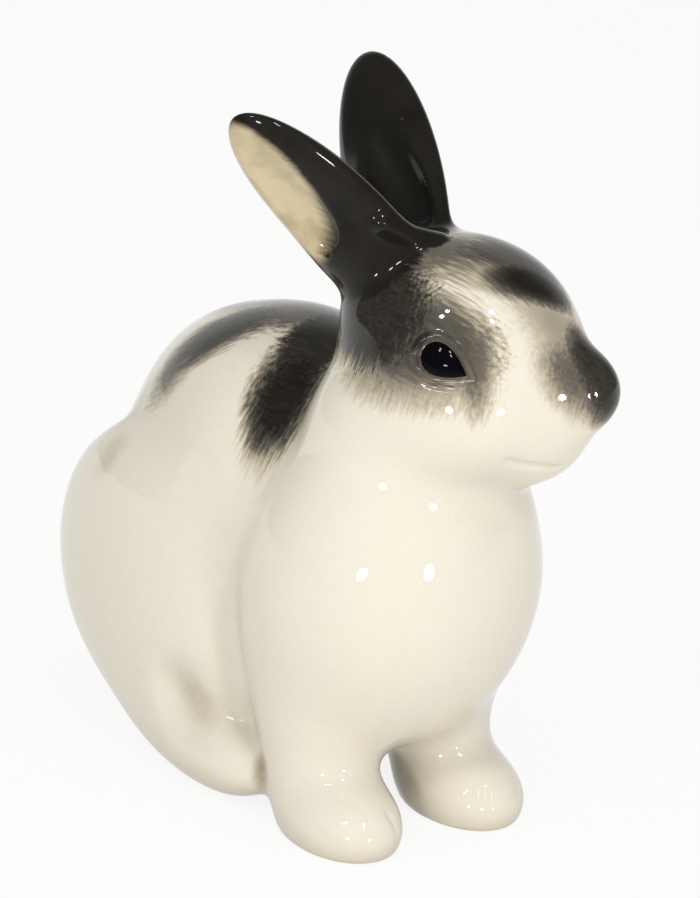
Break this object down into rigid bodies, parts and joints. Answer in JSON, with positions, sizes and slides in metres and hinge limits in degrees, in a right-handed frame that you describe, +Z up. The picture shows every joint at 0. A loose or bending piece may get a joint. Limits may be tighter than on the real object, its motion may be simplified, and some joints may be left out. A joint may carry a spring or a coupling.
{
  "type": "ceramic rabbit figurine",
  "caption": "Glazed porcelain rabbit ornament sitting up with its head turned, joined from slip-cast body and head and pressed ears, legs and tail.",
  "frame": {"origin": "on the ground, under the middle of the figurine's box", "axes": "+Z up; the rabbit's body faces -Y, and its head is turned towards its left, +X"},
  "size_m": [0.0554, 0.0992, 0.1154],
  "materials": {
    "glazed_porcelain": "glossy clear glaze over hand-painted black and grey markings",
    "porcelain_slip": "fired slip under the glaze",
    "black_enamel": "glossy black enamel"
  },
  "bodies": {
    "root": {"torso": "glazed_porcelain", "neck_slip": "porcelain_slip", "head": "glazed_porcelain", "left_eye": "black_enamel", "right_eye": "black_enamel", "left_ear": "glazed_porcelain", "left_ear_slip": "porcelain_slip", "right_ear": "glazed_porcelain", "right_ear_slip": "porcelain_slip", "left_foreleg": "glazed_porcelain", "left_foreleg_slip": "porcelain_slip", "right_foreleg": "glazed_porcelain", "right_foreleg_slip": "porcelain_slip", "left_hind_leg": "glazed_porcelain", "left_hind_leg_slip": "porcelain_slip", "right_hind_leg": "glazed_porcelain", "right_hind_leg_slip": "porcelain_slip", "tail": "glazed_porcelain", "tail_slip": "porcelain_slip"}
  },
  "joints": []
}
